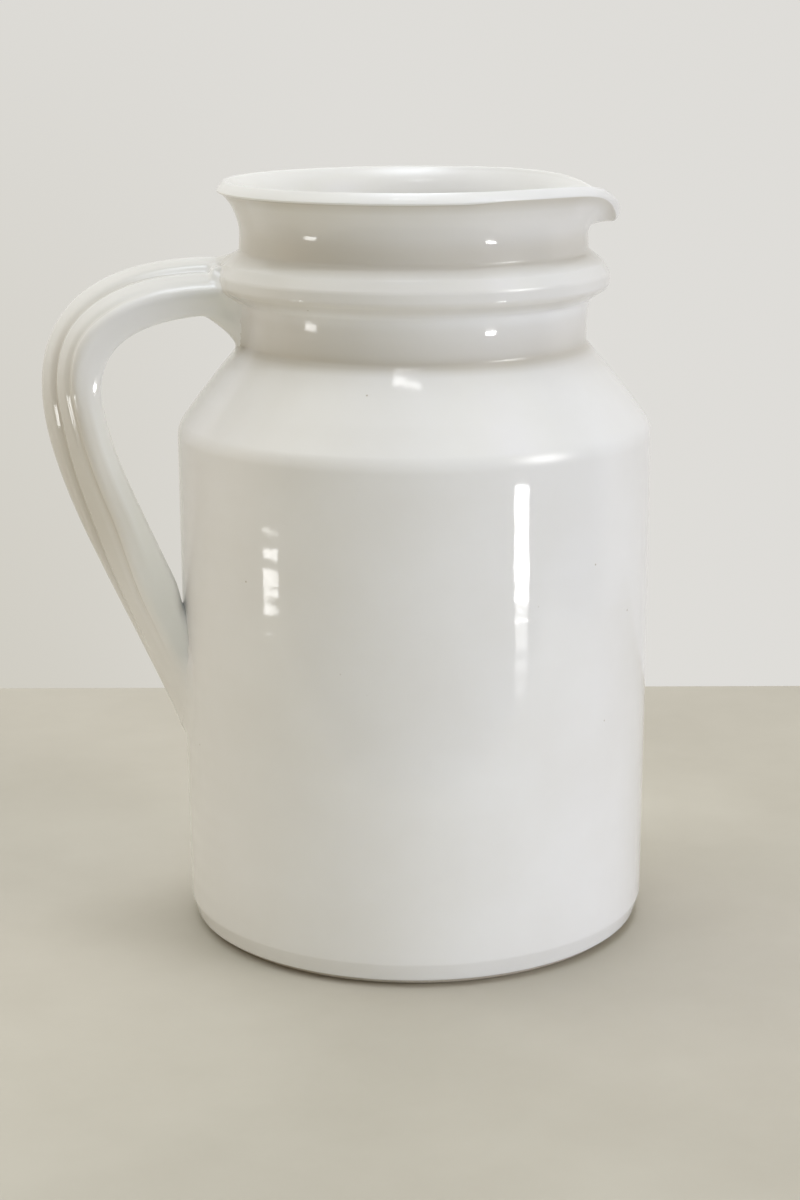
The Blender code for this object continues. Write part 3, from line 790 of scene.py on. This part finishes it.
bare_foot = add_piece("bare_foot", foot, ("base_disc",), smooth_angle=40.0)

# %% [markdown]
# ## Recipes for finishes
#
# A finish is a small network of nodes, read from the place on the surface to the shader. All
# patterns here are read from the place in space (Object coordinates), at their real size. The
# two helpers keep each recipe short: an input is named with _ for a space, and it may be a
# number, a colour or another node's output.


# %% Helpers for materials
def new_material(name):
    """A material with an empty Principled shader, and its node tree."""
    material = bpy.data.materials.new(name)
    material.use_nodes = True
    tree = material.node_tree
    return material, tree, tree.nodes["Principled BSDF"]


def add_node(tree, kind, settings=None, **inputs):
    """Add one node, set its own settings, and set or link its inputs by name."""
    node = tree.nodes.new(kind)
    for key, value in (settings or {}).items():
        setattr(node, key, value)
    for key, value in inputs.items():
        socket = node.inputs[key.replace("_", " ")]
        if isinstance(value, bpy.types.NodeSocket):
            tree.links.new(value, socket)
        else:
            socket.default_value = value
    return node


print("nodes as in Blender", bpy.app.version_string)

# %% [markdown]
# ## White glaze
#
# A tin-white glaze is a thick glassy coat. It is opaque and a little warm, with cloudy changes
# of tone. The surface swims slightly, and a few pinholes are left where gas escaped.

# %% Glaze
CREAM_CLOUD, PALE_CLOUD = (0.835, 0.822, 0.797, 1.0), (0.872, 0.864, 0.850, 1.0)
PINHOLE_TONE = (0.55, 0.50, 0.42, 1.0)
# The darker, warmer tone of the painted shade.
PAINTED_SHADE_TONE = (0.64, 0.605, 0.54, 1.0)
glaze, tree, shader = new_material("white_glaze")
where = add_node(tree, "ShaderNodeTexCoord").outputs["Object"]
clouds = add_node(tree, "ShaderNodeTexNoise", Vector=where, Scale=24.0, Detail=3.0, Roughness=0.55)
tone = add_node(tree, "ShaderNodeValToRGB", Fac=clouds.outputs["Fac"])
tone.color_ramp.elements[0].position = 0.3
tone.color_ramp.elements[0].color = CREAM_CLOUD
tone.color_ramp.elements[1].position = 0.7
tone.color_ramp.elements[1].color = PALE_CLOUD
holes = add_node(tree, "ShaderNodeTexVoronoi", Vector=where, Scale=70.0)
pinholes = add_node(
    tree, "ShaderNodeMapRange", Value=holes.outputs["Distance"],
    From_Min=0.012, From_Max=0.030, To_Min=1.0, To_Max=0.0)
speck = add_node(
    tree, "ShaderNodeMix", {"data_type": "RGBA"}, Factor=pinholes.outputs["Result"],
    A=tone.outputs["Color"], B=PINHOLE_TONE)
# Painted shade: the colour is mixed towards that tone by the amount each point carries.
painted_shade_amount = add_node(tree, "ShaderNodeAttribute", {"attribute_name": "painted_shade"})
coat = add_node(
    tree, "ShaderNodeMix", {"data_type": "RGBA"}, Factor=painted_shade_amount.outputs["Fac"],
    A=speck.outputs["Result"], B=PAINTED_SHADE_TONE)
tree.links.new(coat.outputs["Result"], shader.inputs["Base Color"])
print("glaze colour from", len(tree.nodes), "nodes")

# %% [markdown]
# The gloss is nearly a mirror, and a little softer in patches. Two bumps finish the surface:
# the swimming of the glass, and a pit at each pinhole. The shape itself is in the mesh.

# %% Gloss and surface of the glaze
satin = add_node(tree, "ShaderNodeTexNoise", Vector=where, Scale=60.0, Detail=2.0)
gloss = add_node(
    tree, "ShaderNodeMapRange", Value=satin.outputs["Fac"], To_Min=0.05, To_Max=0.10)
tree.links.new(gloss.outputs["Result"], shader.inputs["Roughness"])
swim = add_node(tree, "ShaderNodeTexNoise", Vector=where, Scale=260.0, Detail=2.0)
skin = add_node(tree, "ShaderNodeBump", Height=swim.outputs["Fac"], Strength=0.05, Distance=0.0004)
pits = add_node(
    tree, "ShaderNodeBump", {"invert": True}, Height=pinholes.outputs["Result"],
    Strength=0.4, Distance=0.0002, Normal=skin.outputs["Normal"])
tree.links.new(pits.outputs["Normal"], shader.inputs["Normal"])
shader.inputs["IOR"].default_value = 1.5
glazed_pot.data.materials.append(glaze)
glazed_handle.data.materials.append(glaze)
print("glaze in all", len(tree.nodes), "nodes")

# %% [markdown]
# ## Bare clay
#
# The foot is fired clay with no coat: cream, matt and a little sandy, with rings of a warmer
# tone where the turning tool pressed.

# %% Clay
WARM_CLAY, PALE_CLAY = (0.44, 0.37, 0.28, 1.0), (0.62, 0.56, 0.47, 1.0)
GRAIN_SHARE = 0.7
clay, tree, shader = new_material("bare_clay")
where = add_node(tree, "ShaderNodeTexCoord").outputs["Object"]
rings = add_node(
    tree, "ShaderNodeTexWave", {"wave_type": "RINGS", "rings_direction": "Z"},
    Vector=where, Scale=90.0, Distortion=0.6, Detail=2.0)
grain = add_node(tree, "ShaderNodeTexNoise", Vector=where, Scale=900.0, Detail=3.0)
blend = add_node(tree, "ShaderNodeMath", {"operation": "MULTIPLY_ADD"})
tree.links.new(grain.outputs["Fac"], blend.inputs[0])
blend.inputs[1].default_value = GRAIN_SHARE
tree.links.new(rings.outputs["Fac"], blend.inputs[2])
tone = add_node(tree, "ShaderNodeValToRGB", Fac=blend.outputs["Value"])
tone.color_ramp.elements[0].color = WARM_CLAY
tone.color_ramp.elements[1].color = PALE_CLAY
tree.links.new(tone.outputs["Color"], shader.inputs["Base Color"])
shader.inputs["Roughness"].default_value = 0.85
rough = add_node(
    tree, "ShaderNodeBump", Height=blend.outputs["Value"], Strength=0.5, Distance=0.0003)
tree.links.new(rough.outputs["Normal"], shader.inputs["Normal"])
bare_foot.data.materials.append(clay)
print("clay of", len(tree.nodes), "nodes")

# %% [markdown]
# ## The table and the room
#
# The jug stands on a pale floor like fine concrete, with a pale room behind it. Only the
# part of the floor near the jug shows in the glaze; the rest is left out of reflections, so
# that the low lamps beside the table can be seen in the wall of the jug.


# %% Floor
def floor_sheet(name, west, east, south, north, in_reflections):
    """A flat piece of the floor between two sides and two ends, as the camera sees it."""
    mesh = bmesh.new()
    bmesh.ops.create_grid(mesh, x_segments=1, y_segments=1, size=0.5)
    size = (east - west, north - south, 1.0)
    middle = ((east + west) / 2, (north + south) / 2, 0.0)
    bmesh.ops.scale(mesh, verts=mesh.verts[:], vec=size)
    bmesh.ops.translate(mesh, verts=mesh.verts[:], vec=middle)
    bmesh.ops.transform(mesh, verts=mesh.verts[:], matrix=facing)
    data = bpy.data.meshes.new(name)
    mesh.to_mesh(data)
    mesh.free()
    sheet = bpy.data.objects.new(name, data)
    bpy.context.scene.collection.objects.link(sheet)
    sheet.visible_glossy = in_reflections
    return sheet


# The table ends behind the jug. Only the sheet nearest to the jug shows in its glaze.
TABLE_END = 0.266
SIDE = 0.5
FAR = 3.0
sheets = [
    floor_sheet("floor_near", -SIDE, SIDE, -TABLE_END, TABLE_END, True),
    floor_sheet("floor_front", -FAR, FAR, -FAR, -TABLE_END, False),
    floor_sheet("floor_left", -FAR, -SIDE, -TABLE_END, TABLE_END, False),
    floor_sheet("floor_right", SIDE, FAR, -TABLE_END, TABLE_END, False),
]
print("table of", len(sheets), "sheets")

# %% [markdown]
# The colour of the floor is mottled in soft patches. It darkens a little towards the far end of
# the table, in the material, by the distance from the jug: painted shade on the far floor.

# %% Colour of the floor
DARK_PATCH, LIGHT_PATCH = (0.519, 0.487, 0.419, 1.0), (0.597, 0.566, 0.496, 1.0)
concrete, tree, shader = new_material("pale_floor")
where = add_node(tree, "ShaderNodeTexCoord").outputs["Object"]
mottle = add_node(tree, "ShaderNodeTexNoise", Vector=where, Scale=9.0, Detail=6.0, Roughness=0.6)
tone = add_node(tree, "ShaderNodeValToRGB", Fac=mottle.outputs["Fac"])
tone.color_ramp.elements[0].position = 0.25
tone.color_ramp.elements[0].color = DARK_PATCH
tone.color_ramp.elements[1].position = 0.75
tone.color_ramp.elements[1].color = LIGHT_PATCH
# Painted shade: the far part of the floor is darker in colour.
backward = add_node(tree, "ShaderNodeVectorMath", {"operation": "DOT_PRODUCT"})
tree.links.new(where, backward.inputs[0])
backward.inputs[1].default_value = facing @ Vector((0, 1, 0))
depth = add_node(
    tree, "ShaderNodeMapRange", Value=backward.outputs["Value"],
    From_Min=-0.15, From_Max=0.27, To_Min=1.0, To_Max=0.79)
far_floor_shade = add_node(
    tree, "ShaderNodeVectorMath", {"operation": "SCALE"}, Scale=depth.outputs["Result"])
tree.links.new(tone.outputs["Color"], far_floor_shade.inputs[0])
tree.links.new(far_floor_shade.outputs["Vector"], shader.inputs["Base Color"])
shader.inputs["Roughness"].default_value = 0.6
shader.inputs["Specular IOR Level"].default_value = 0.15
for sheet in sheets:
    sheet.data.materials.append(concrete)
print("floor of", len(tree.nodes), "nodes")

# %% [markdown]
# ## Light
#
# The room is pale and bright, so most of the light comes from everywhere. It is put together
# from a few soft glows in the sky of the scene. Each one is strongest in one direction and
# fades evenly round it, so that no edge of a lamp shows in the glaze. The ceiling and the right
# are the brightest. The left is weaker and warmer.


# %% Glows of the room
# Each glow is (degrees round from the camera towards its right, degrees up, narrowness, colour).
glows = {
    "ceiling": (0, 90, 30, (5.2, 5.5, 6.1)),
    "upper left": (-80, 55, 12, (1.25, 1.30, 1.30)),
    "upper right": (70, 55, 12, (0.90, 0.83, 0.39)),
    "window": (66, 20, 50, (8.1, 8.0, 7.9)),
    "window top": (66, 50, 50, (0.36, 0.36, 1.02)),
    "left": (-95, 15, 6, (0.73, 0.59, 0.51)),
    "left back": (-130, 15, 8, (0.35, 0.49, 0.32)),
    "right back": (130, 15, 8, (0.12, 0.14, 0.04)),
    "back": (180, 0, 3, (0.42, 0.49, 0.48)),
}

world = bpy.data.worlds.new("room")
bpy.context.scene.world = world
world.use_nodes = True
tree = world.node_tree
looking = add_node(tree, "ShaderNodeTexCoord").outputs["Generated"]


def along(direction):
    """How far the line of sight points in a direction, from -1 to 1."""
    dot = add_node(tree, "ShaderNodeVectorMath", {"operation": "DOT_PRODUCT"})
    tree.links.new(looking, dot.inputs[0])
    dot.inputs[1].default_value = facing @ Vector(direction)
    return dot.outputs["Value"]


def calculate(operation, first, second):
    """One sum on two numbers or sockets."""
    node = add_node(tree, "ShaderNodeMath", {"operation": operation})
    for socket, value in zip(node.inputs, (first, second)):
        if isinstance(value, bpy.types.NodeSocket):
            tree.links.new(value, socket)
        else:
            socket.default_value = value
    return node.outputs["Value"]


total = None
for name, (around, up, narrowness, colour) in glows.items():
    around, up = math.radians(around), math.radians(up)
    middle = (math.sin(around) * math.cos(up), -math.cos(around) * math.cos(up), math.sin(up))
    fade = calculate("POWER", calculate("MAXIMUM", along(middle), 0.0), narrowness)
    glow = add_node(tree, "ShaderNodeVectorMath", {"operation": "SCALE"}, Scale=fade)
    glow.inputs[0].default_value = colour
    if total is None:
        total = glow.outputs["Vector"]
    else:
        both = add_node(tree, "ShaderNodeVectorMath", {"operation": "ADD"})
        tree.links.new(total, both.inputs[0])
        tree.links.new(glow.outputs["Vector"], both.inputs[1])
        total = both.outputs["Vector"]
room_light = tree.nodes["Background"]
tree.links.new(total, room_light.inputs["Color"])
print("room of", len(glows), "glows")

# %% [markdown]
# A plain wall stands behind the jug. The camera sees it, and so does the glaze where it mirrors
# what is behind: along its edges, and in anything clear or polished. Low on the left its colour is
# a little darker and warmer: painted shade.

# %% Colour of the wall
# The darker, warmer tone low on the left is painted shade.
PALE_WALL, LOW_LEFT_WALL = (0.735, 0.722, 0.692, 1.0), (0.625, 0.602, 0.538, 1.0)
leftward = add_node(
    tree, "ShaderNodeMapRange", {"interpolation_type": "SMOOTHSTEP"},
    Value=along((-1, 0, 0)), From_Min=-0.02, From_Max=0.20)
downward = add_node(
    tree, "ShaderNodeMapRange", Value=along((0, 0, -1)), From_Min=-0.05, From_Max=0.28)
low_left = calculate("MULTIPLY", leftward.outputs["Result"], downward.outputs["Result"])
wall_tone = add_node(
    tree, "ShaderNodeMix", {"data_type": "RGBA"}, Factor=low_left, A=PALE_WALL, B=LOW_LEFT_WALL)
wall = add_node(tree, "ShaderNodeBackground", Color=wall_tone.outputs["Result"], Strength=1.0)

# %% Who sees the wall
path = add_node(tree, "ShaderNodeLightPath")
mirrored = calculate("MAXIMUM", path.outputs["Is Glossy Ray"], path.outputs["Is Transmission Ray"])
towards_wall = add_node(
    tree, "ShaderNodeMapRange", {"interpolation_type": "SMOOTHSTEP"},
    Value=along((0, 1, 0)), From_Min=0.0, From_Max=0.35)
mirrored = calculate("MULTIPLY", mirrored, towards_wall.outputs["Result"])
choose = add_node(tree, "ShaderNodeMixShader")
tree.links.new(calculate("MAXIMUM", path.outputs["Is Camera Ray"], mirrored), choose.inputs["Fac"])
tree.links.new(room_light.outputs["Background"], choose.inputs[1])
tree.links.new(wall.outputs["Background"], choose.inputs[2])
tree.links.new(choose.outputs["Shader"], tree.nodes["World Output"].inputs["Surface"])
print("room of", len(tree.nodes), "nodes in all")

# %% [markdown]
# Seven lamps stand near the table. They soften the shading and are kept out of reflections.
# Two are narrow spots, one for the inside of the mouth and one for the side of the strap. The
# two low ones light only the jug, because so near the floor they would leave bright pools on
# it. Five small lamps do the opposite: they show in the glaze as glints and light nothing.


# %% A lamp
WHITE = (1.0, 1.0, 1.0)


def lamp_at(name, place, target, width, height, power, colour=WHITE, cone=None, blend=0.25):
    """A lamp that stands at a place in the camera's room and faces a target.

    It is a soft rectangle, or a narrow round spot where a cone is given in degrees. The size
    is in metres and the power in watts.
    """
    if cone:
        lamp = bpy.data.lights.new(name, "SPOT")
        lamp.spot_size = math.radians(cone)
        lamp.spot_blend = blend
        lamp.shadow_soft_size = width / 2
    else:
        lamp = bpy.data.lights.new(name, "AREA")
        lamp.shape = "RECTANGLE"
        lamp.size = width
        lamp.size_y = height
    lamp.energy = power
    lamp.color = colour
    holder = bpy.data.objects.new(name, lamp)
    aim = (Vector(target) - Vector(place)).to_track_quat("-Z", "Y").to_matrix().to_4x4()
    holder.matrix_world = facing @ Matrix.Translation(place) @ aim
    bpy.context.scene.collection.objects.link(holder)
    holder.visible_camera = False
    return holder


# %% Lamps that shade the jug
MIDDLE_OF_JUG, FOOT_OF_JUG = (0.0, 0.0, 0.15), (0.0, 0.0, 0.05)
overhead_left = lamp_at(
    "overhead_left", (-0.7, 0.3, 1.0), (0.0, 0.05, 0.1), 0.8, 0.8, 1.5, (1.0, 1.0, 0.82))
lamp_behind = lamp_at(
    "behind", (0.0, 0.9, 0.7), MIDDLE_OF_JUG, 1.6, 0.8, 6.5, (1.0, 0.92, 0.89))
low_right = lamp_at(
    "low_right", (0.8, -0.6, 0.12), FOOT_OF_JUG, 0.4, 0.25, 2.0, (0.58, 0.62, 1.0))
low_front = lamp_at(
    "low_front", (0.15, -1.0, 0.15), FOOT_OF_JUG, 0.5, 0.3, 1.6, (0.87, 1.0, 0.92))
left_front = lamp_at(
    "left_front", (-0.9, -0.9, 0.35), (-0.08, 0.0, 0.14), 0.5, 0.5, 1.0, (1.0, 0.75, 0.60))
over_the_mouth = lamp_at(
    "over_the_mouth", (0.0, -0.30, 1.15), (0.0, 0.0, 0.245), 0.04, 0.04, 6.0,
    (0.79, 0.88, 1.0), cone=8.6)
on_the_strap = lamp_at(
    "on_the_strap", (0.42, -0.90, 0.25), (-0.117, -0.01, 0.138), 0.06, 0.06, 9.0,
    (1.0, 0.98, 0.95), cone=4.6, blend=1.0)
shading_lamps = (
    overhead_left, lamp_behind, low_right, low_front, left_front, over_the_mouth, on_the_strap)
for holder in shading_lamps:
    holder.visible_glossy = False
lit_by_low_lamps = bpy.data.collections.new("lit_by_low_lamps")
for piece in (glazed_pot, glazed_handle, bare_foot):
    lit_by_low_lamps.objects.link(piece)
for holder in (low_right, low_front):
    holder.light_linking.receiver_collection = lit_by_low_lamps
power = sum(holder.data.energy for holder in shading_lamps)
print(len(shading_lamps), "lamps of", round(power, 1), "W in all")

# %% [markdown]
# A glossy wall mirrors its surroundings, so the place of a lamp decides where its glint falls.
# On an upright wall a lamp below the table's height shows at about the middle of the jug. The
# right-hand glint is a long streak that fades downwards, and three lamps in a row make it.

# %% Lamps that make glints
glint_lamps = [
    lamp_at("right_glint", (1.22, -0.99, -0.20), MIDDLE_OF_JUG, 0.19, 0.10, 2.4),
    lamp_at("right_glint_middle", (1.22, -0.99, -0.285), MIDDLE_OF_JUG, 0.17, 0.07, 0.19),
    lamp_at("right_glint_foot", (1.22, -0.99, -0.36), MIDDLE_OF_JUG, 0.17, 0.08, 0.06),
    lamp_at("left_glint", (-1.48, -0.50, -0.30), MIDDLE_OF_JUG, 0.24, 0.17, 1.4),
    lamp_at("overhead_glint", (-0.06, -0.434, 1.331), (0.0, -0.07, 0.2), 0.24, 0.018, 0.16),
]
for holder in glint_lamps:
    holder.visible_diffuse = False
print(len(glint_lamps), "glints")
